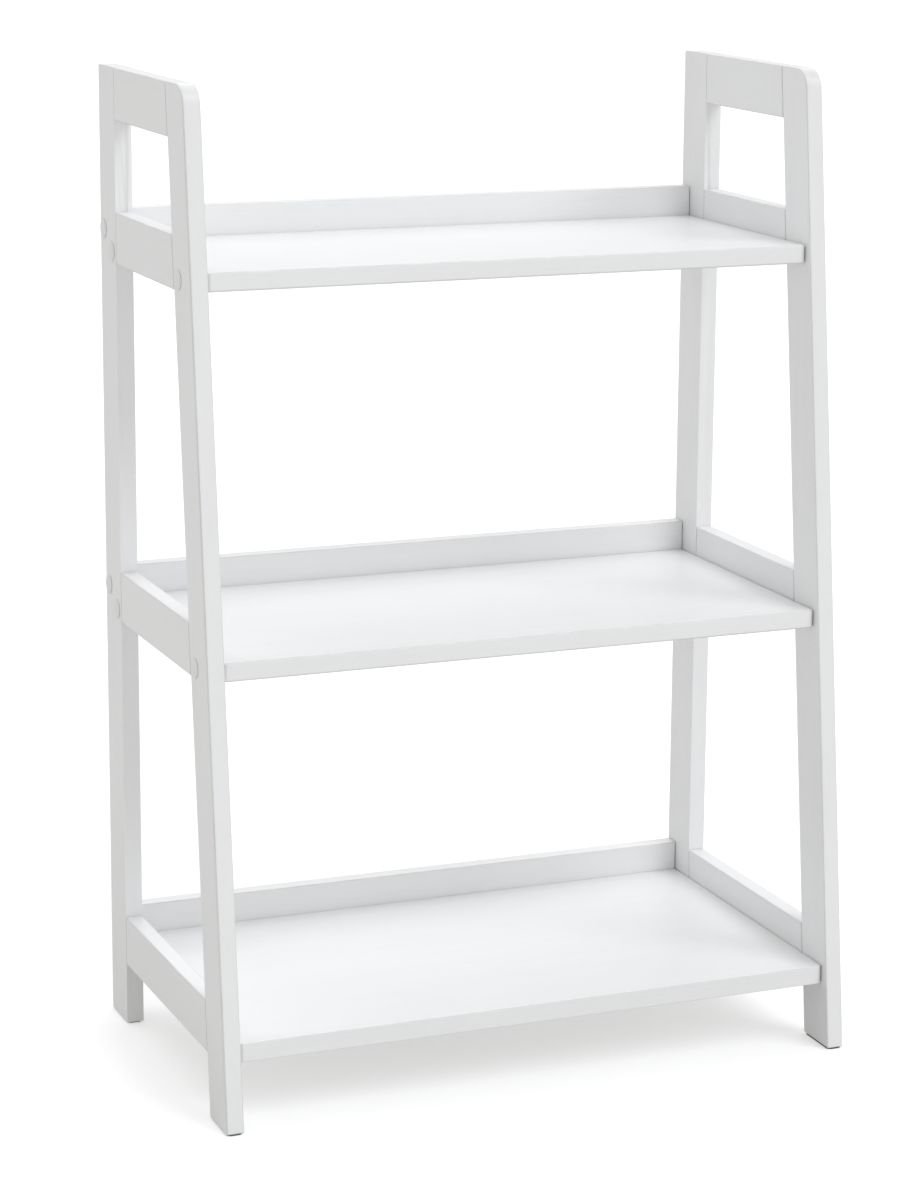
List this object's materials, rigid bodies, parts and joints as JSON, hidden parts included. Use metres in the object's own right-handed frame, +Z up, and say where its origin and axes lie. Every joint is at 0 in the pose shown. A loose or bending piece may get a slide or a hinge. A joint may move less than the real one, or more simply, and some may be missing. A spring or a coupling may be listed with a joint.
{
  "type": "ladder shelf",
  "caption": "Free-standing ladder shelf: two leaning side frames of legs and rails carry stepped shelves, each with a low back board, on small floor glides.",
  "frame": {"origin": "middle of the footprint, on the floor under the glides", "axes": "+X to the user's right when facing the shelf from the front, +Z up; the front faces -Y and the upright rear legs stand on the +Y side"},
  "size_m": [0.6024, 0.345, 0.894],
  "materials": {
    "lacquered_board": "white satin lacquer on solid and board wood, eased edges",
    "cover_cap": "moulded off-white plastic, slightly domed",
    "floor_glide": "dark grey moulded plastic",
    "zinc_steel": "zinc plated, hidden inside the boards",
    "dowel_wood": "plain beech, hidden inside the boards"
  },
  "bodies": {
    "root": {"left_front_glide": "floor_glide", "left_front_leg": "lacquered_board", "left_lower_back_dowel": "dowel_wood", "left_lower_front_cam": "zinc_steel", "left_lower_front_cam_bolt": "zinc_steel", "left_lower_rail": "lacquered_board", "left_lower_rear_cam": "zinc_steel", "left_lower_rear_cam_bolt": "zinc_steel", "left_middle_back_cap": "cover_cap", "left_middle_back_screw": "zinc_steel", "left_middle_front_cap": "cover_cap", "left_middle_front_screw": "zinc_steel", "left_middle_rail": "lacquered_board", "left_middle_rear_cap": "cover_cap", "left_middle_rear_screw": "zinc_steel", "left_rear_glide": "floor_glide", "left_rear_leg": "lacquered_board", "left_top_rail": "lacquered_board", "left_upper_back_cap": "cover_cap", "left_upper_back_screw": "zinc_steel", "left_upper_front_cap": "cover_cap", "left_upper_front_screw": "zinc_steel", "left_upper_rail": "lacquered_board", "left_upper_rear_cap": "cover_cap", "left_upper_rear_screw": "zinc_steel", "lower_back_board": "lacquered_board", "lower_shelf": "lacquered_board", "middle_back_board": "lacquered_board", "middle_shelf": "lacquered_board", "right_front_glide": "floor_glide", "right_front_leg": "lacquered_board", "right_lower_back_dowel": "dowel_wood", "right_lower_front_cam": "zinc_steel", "right_lower_front_cam_bolt": "zinc_steel", "right_lower_rail": "lacquered_board", "right_lower_rear_cam": "zinc_steel", "right_lower_rear_cam_bolt": "zinc_steel", "right_middle_back_cap": "cover_cap", "right_middle_back_screw": "zinc_steel", "right_middle_front_cap": "cover_cap", "right_middle_front_screw": "zinc_steel", "right_middle_rail": "lacquered_board", "right_middle_rear_cap": "cover_cap", "right_middle_rear_screw": "zinc_steel", "right_rear_glide": "floor_glide", "right_rear_leg": "lacquered_board", "right_top_rail": "lacquered_board", "right_upper_back_cap": "cover_cap", "right_upper_back_screw": "zinc_steel", "right_upper_front_cap": "cover_cap", "right_upper_front_screw": "zinc_steel", "right_upper_rail": "lacquered_board", "right_upper_rear_cap": "cover_cap", "right_upper_rear_screw": "zinc_steel", "upper_back_board": "lacquered_board", "upper_shelf": "lacquered_board"}
  },
  "joints": []
}
